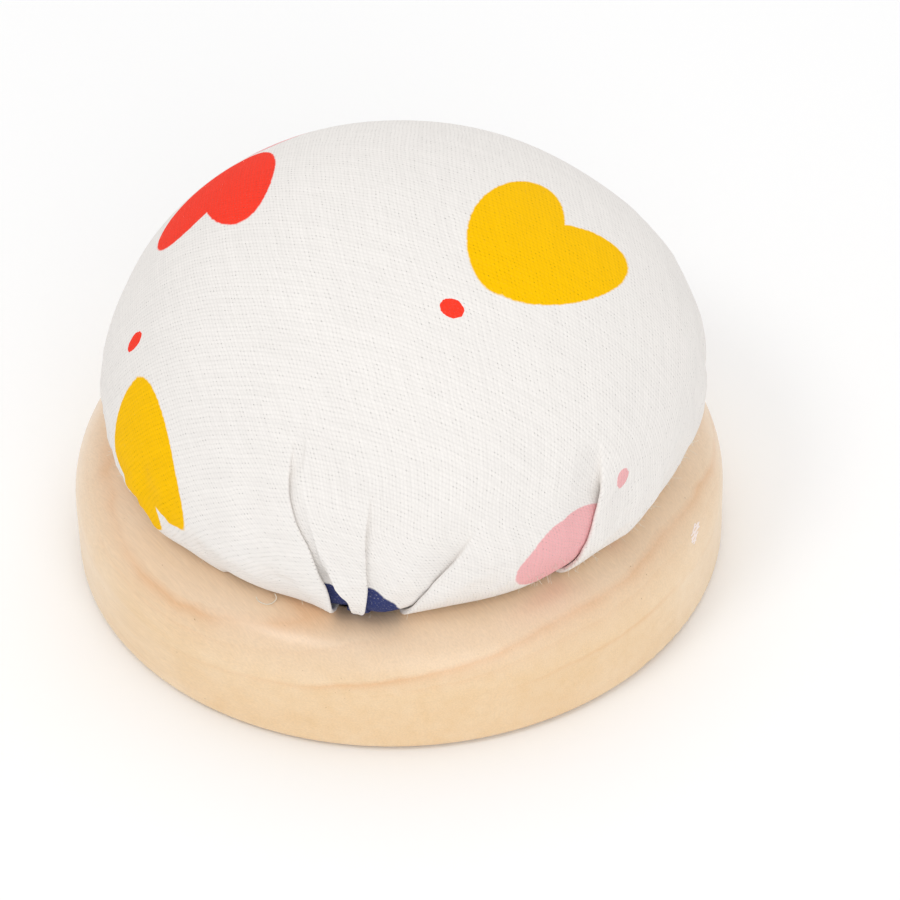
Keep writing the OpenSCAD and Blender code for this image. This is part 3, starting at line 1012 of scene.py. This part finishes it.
# Gathering thread: two cotton plies twisted together, once round the hem's casing, knotted, with two tails.
thread = {
    "ring": (13.3, 7.7),         # radius and height, in mm
    "openAngle": 6.2,            # degrees on either side of X where the ends leave the casing
    "plyRadius": 0.125,
    "plyOffset": 0.115,          # from the thread's middle to a ply's middle
    "pitch": 1.3,
    "knotAt": 10.7,
    # the knot's two turns: shift towards the hem, way per turn, half width and half height
    "knot": (0.2, 0.14, 0.42, 0.30),
    # one end's way from the casing over the crossing to its tip: from the knot, sideways, up
    "tail": [(2.1, 0.9, 0.05), (1.5, 0.6, 0.17), (0.8, 0.3, 0.24), (0, -0.05, 0.26), (-0.8, -0.5, 0.24),
             (-2.0, -1.1, 0.1), (-4.0, -1.9, 0.0), (-6.0, -2.3, -0.02), (-7.0, -2.4, -0.03)],
}


def smoothRoute(points, step):
    # evenly spaced points on a smooth line through the given ones
    points = np.array(points, float)
    reach = np.concatenate([[0], np.cumsum(np.linalg.norm(np.diff(points, axis=0), axis=1))])
    at = np.linspace(0, reach[-1], max(8, int(reach[-1] / step)))
    return np.stack([smoothCurve(at, list(zip(reach, points[:, k]))) for k in range(3)], -1)


def strand(name, lines, radius, sides=2):
    # one mesh of round strands along the given lines, in mm
    curve = bpy.data.curves.new(name, "CURVE")
    curve.dimensions = "3D"
    curve.bevel_depth = radius * mm
    curve.bevel_resolution = sides
    curve.use_fill_caps = True
    for line in lines:
        spline = curve.splines.new("POLY")
        spline.points.add(len(line) - 1)
        spline.points.foreach_set("co", np.column_stack([line * mm, np.ones(len(line))]).ravel())
    piece = bpy.data.objects.new(name, curve)
    bpy.context.scene.collection.objects.link(piece)
    makeActive(piece)
    bpy.ops.object.convert(target="MESH")
    tidyMesh(piece, 0.000002)
    return piece


def twistedPlies(route):
    # two plies wound round the route
    way = np.gradient(route, axis=0)
    way /= np.linalg.norm(way, axis=1)[:, None]
    across = np.cross(way, (0, 0, 1.0))
    across /= np.linalg.norm(across, axis=1)[:, None]
    up = np.cross(across, way)
    reach = np.concatenate([[0], np.cumsum(np.linalg.norm(np.diff(route, axis=0), axis=1))])
    turn = 2 * math.pi * reach / thread["pitch"]
    plies = []
    for start in (0, math.pi):
        side = np.cos(turn + start)[:, None] * across + np.sin(turn + start)[:, None] * up
        plies.append(route + thread["plyOffset"] * side)
    return plies


ringRadius, ringHeight = thread["ring"]
tails = {}
for side in (1, -1):
    tails[side] = [(thread["knotAt"] + x, side * y, ringHeight + side * z) for x, y, z in thread["tail"]]
openAngle = math.radians(thread["openAngle"])
onRing = [(ringRadius * math.cos(a), ringRadius * math.sin(a), ringHeight)
          for a in np.linspace(openAngle, 2 * math.pi - openAngle, 90)]
route = smoothRoute(tails[1][::-1] + onRing + tails[-1], 0.13)
knotTurn = np.linspace(0, 4 * math.pi, 70)
knotShift, knotPitch, knotWide, knotHigh = thread["knot"]
knotRoute = np.stack([thread["knotAt"] + knotShift + knotPitch * (knotTurn / (2 * math.pi) - 1),
                      knotWide * np.cos(knotTurn), ringHeight + knotHigh * np.sin(knotTurn)], -1)
sewing = strand("gatheringThread", twistedPlies(route) + twistedPlies(knotRoute), thread["plyRadius"])

# unbleached cotton: matt and slightly fuzzy, with painted shade a touch darker between its fibres
yarn = newMaterial("cottonSewingThread")
yarnPlace = addNode(yarn, "ShaderNodeTexCoord")
yarnFibres = addNode(yarn, "ShaderNodeTexNoise",
                     {"Scale": 5000.0, "Detail": 3.0},
                     {"Vector": (yarnPlace, "Object")})
yarnPaintedShade = addNode(yarn, "ShaderNodeMix",
                     {"data_type": "RGBA", 6: linearColour("#D9D0BE"), 7: linearColour("#F4EFE4")},
                     {0: (yarnFibres, 0)})
yarnBump = addNode(yarn, "ShaderNodeBump",
                   {"Strength": 0.5, "Distance": 0.03 * mm},
                   {"Height": (yarnFibres, 0)})
yarnShader = addNode(yarn, "ShaderNodeBsdfPrincipled",
                     {"Roughness": 0.85, "Specular IOR Level": 0.2, "Sheen Weight": 0.2},
                     {"Base Color": (yarnPaintedShade, 2), "Normal": (yarnBump, 0)})
addNode(yarn, "ShaderNodeOutputMaterial", links={"Surface": (yarnShader, 0)})
finishPiece(sewing, "gatheringThread", yarn, ["gathering_thread"])
print("stage: hem drawn in")


# Hot-melt glue: a pressed ring of clear, slightly yellow glue with an uneven edge.
glue = {
    "ring": 19.55,
    "halfWidth": 3.75,
    "height": (6.03, 6.98),      # underside and top
    "waves": 0.35,               # how far the edge wanders
}
clearSelection()
bpy.ops.mesh.primitive_torus_add(major_segments=220, minor_segments=28, major_radius=glue["ring"] * mm,
                                 minor_radius=(glue["halfWidth"] - glue["waves"]) * mm)
glueBead = bpy.context.object
low, high = glue["height"]
makeActive(glueBead)
bpy.ops.object.mode_set(mode="EDIT")
bpy.ops.mesh.select_all(action="SELECT")
bpy.ops.transform.resize(value=(1, 1, (high - low) / 2 / (glue["halfWidth"] - glue["waves"])))
bpy.ops.object.mode_set(mode="OBJECT")
for vertex in glueBead.data.vertices:
    angle = math.atan2(vertex.co.y, vertex.co.x)
    reach = math.hypot(vertex.co.x, vertex.co.y)
    side = 1 if reach > glue["ring"] * mm else -1
    wave = glue["waves"] * mm * (0.6 * math.sin(9 * angle + side) + 0.4 * math.sin(23 * angle + 2 * side))
    share = abs(reach - glue["ring"] * mm) / (glue["halfWidth"] * mm)
    vertex.co.x *= 1 + side * wave * share / reach
    vertex.co.y *= 1 + side * wave * share / reach
    vertex.co.z += (low + high) / 2 * mm
tidyMesh(glueBead, 0.000005)

# milky, glossy and see-through in thin places
melt = newMaterial("hotMeltGlue")
meltPlace = addNode(melt, "ShaderNodeTexCoord")
meltNoise = addNode(melt, "ShaderNodeTexNoise",
                    {"Scale": 260.0, "Detail": 2.0},
                    {"Vector": (meltPlace, "Object")})
meltColour = addNode(melt, "ShaderNodeMix",
                     {"data_type": "RGBA", 6: linearColour("#EDE6CE"), 7: linearColour("#F8F5E8")},
                     {0: (meltNoise, 0)})
meltBump = addNode(melt, "ShaderNodeBump",
                   {"Strength": 0.3, "Distance": 0.2 * mm},
                   {"Height": (meltNoise, 0)})
meltShader = addNode(melt, "ShaderNodeBsdfPrincipled",
                     {"Roughness": 0.28, "IOR": 1.48, "Transmission Weight": 0.35, "Subsurface Weight": 0.3,
                      "Subsurface Radius": (0.002, 0.002, 0.0015)},
                     {"Base Color": (meltColour, 2), "Normal": (meltBump, 0)})
addNode(melt, "ShaderNodeOutputMaterial", links={"Surface": (meltShader, 0)})
finishPiece(glueBead, "glueBead", melt, ["glue_ring"])


# Dried glue on the shoulder, wiped with a finger: a thin film of streaks side by side, with an uneven
# outline. All in mm, except the azimuths.
smear = {
    # each streak's ends, as azimuth in degrees
    "streaks": [(-24.7, -23.6), (-25.7, -22.9), (-26.5, -22.5), (-26.9, -23.1), (-27.2, -24.2),
                (-27.3, -25.1), (-27.0, -25.9)],
    "height": 10.25,             # of the place on the shoulder that the ways down are counted from
    "first": -0.2,               # the first streak's way down over the shoulder
    "apart": 0.18,
    "wander": 0.07,
    "radius": 0.1,
    "lift": -0.05,               # of a streak's middle over the wood
    # radius and height of the rounding's centre, and the rounding's own radius
    "shoulder": (28.45, 7.0, 6.0),
}


def onShoulder(points, lift):
    # from azimuth in degrees and the way down over the shoulder in mm to a place at that lift over the wood
    centreRadius, centreHeight, rounding = smear["shoulder"]
    places = []
    for azimuth, down in points:
        turn = math.asin((smear["height"] - centreHeight) / rounding) - down / rounding
        radius = centreRadius + (rounding + lift) * math.cos(turn)
        places.append((radius * math.cos(math.radians(azimuth)), radius * math.sin(math.radians(azimuth)),
                       centreHeight + (rounding + lift) * math.sin(turn)))
    return places


def wipedStreaks():
    lines = []
    for k, ends in enumerate(smear["streaks"]):
        down = smear["first"] + k * smear["apart"]
        points = [(azimuth, down + smear["wander"] * math.sin(2.1 * k + 1.7 * i))
                  for i, azimuth in enumerate(np.linspace(*ends, 5))]
        lines.append(smoothRoute(onShoulder(points, smear["lift"]), 0.08))
    return lines


dried = strand("driedGlue", wipedStreaks(), smear["radius"])
# a thin pinkish white film, slightly glossy
driedFilm = newMaterial("driedGlueFilm")
filmShader = addNode(driedFilm, "ShaderNodeBsdfPrincipled",
                     {"Base Color": linearColour("#FAECE6"), "Roughness": 0.35})
addNode(driedFilm, "ShaderNodeOutputMaterial", links={"Surface": (filmShader, 0)})
finishPiece(dried, "driedGlue", driedFilm)


# Loose cotton: one curled end of yarn on the rim, and fine fibres that stand off the cloth's lower edge.
loose = {
    "curl": [(-13.0, -25.0, 13.5), (-12.85, -25.35, 13.25), (-13.2, -25.85, 13.08), (-13.75, -26.05, 13.05),
             (-14.3, -25.85, 13.06), (-14.75, -25.4, 13.07), (-14.9, -24.95, 13.1)],
    "curlRadius": 0.055,
    "fibres": 240,
    "fibreRadius": 0.017,
    "length": (0.2, 0.6),
    "along": (45, 50.5),
    "manyAt": (-68, -15),        # azimuths at the front right that hold most of the fibres
    "manyShare": 0.6,
    # a fibre stays above the first height, or above the second where it lies outside this radius
    "lowest": (13.06, 13.02),
    "outside": 27.6,
}


def clearOfWood(line):
    lowest = line[:, 2].min()
    nearest = np.hypot(line[:, 0], line[:, 1]).min()
    return lowest > loose["lowest"][0] or nearest > loose["outside"] and lowest > loose["lowest"][1]


def looseFibres():
    lines = []
    while len(lines) < loose["fibres"]:
        sector = loose["manyAt"] if chance.random() < loose["manyShare"] else (-180, 180)
        azimuth = math.radians(chance.uniform(*sector))
        along = chance.uniform(*loose["along"])
        rise = 0.16 + float(stuffedRise(np.array([[azimuth]]), np.array([[along]]))[0, 0])
        start = cushionPoint(np.array(azimuth), np.array(along), np.array(rise - 0.1))
        further = cushionPoint(np.array(azimuth), np.array(along), np.array(rise + 0.9))
        out = further - start
        sideways = chance.normal(0, 1, 3)
        length = chance.uniform(*loose["length"])
        bend = chance.normal(0, 0.5, 3)
        way = out / np.linalg.norm(out) + 0.7 * sideways / np.linalg.norm(sideways)
        line = np.array([start + way * length * t + bend * length * t * t for t in np.linspace(0, 1, 5)])
        if clearOfWood(line):
            lines.append(line)
    return lines


fluff = strand("looseFibres", looseFibres(), loose["fibreRadius"], 0)
curl = strand("curledYarn", [smoothRoute(loose["curl"], 0.1)], loose["curlRadius"], 1)
clearSelection()
curl.select_set(True)
fluff.select_set(True)
bpy.context.view_layer.objects.active = fluff
bpy.ops.object.join()
finishPiece(fluff, "looseCotton", yarn)
print("stage: small traces added")
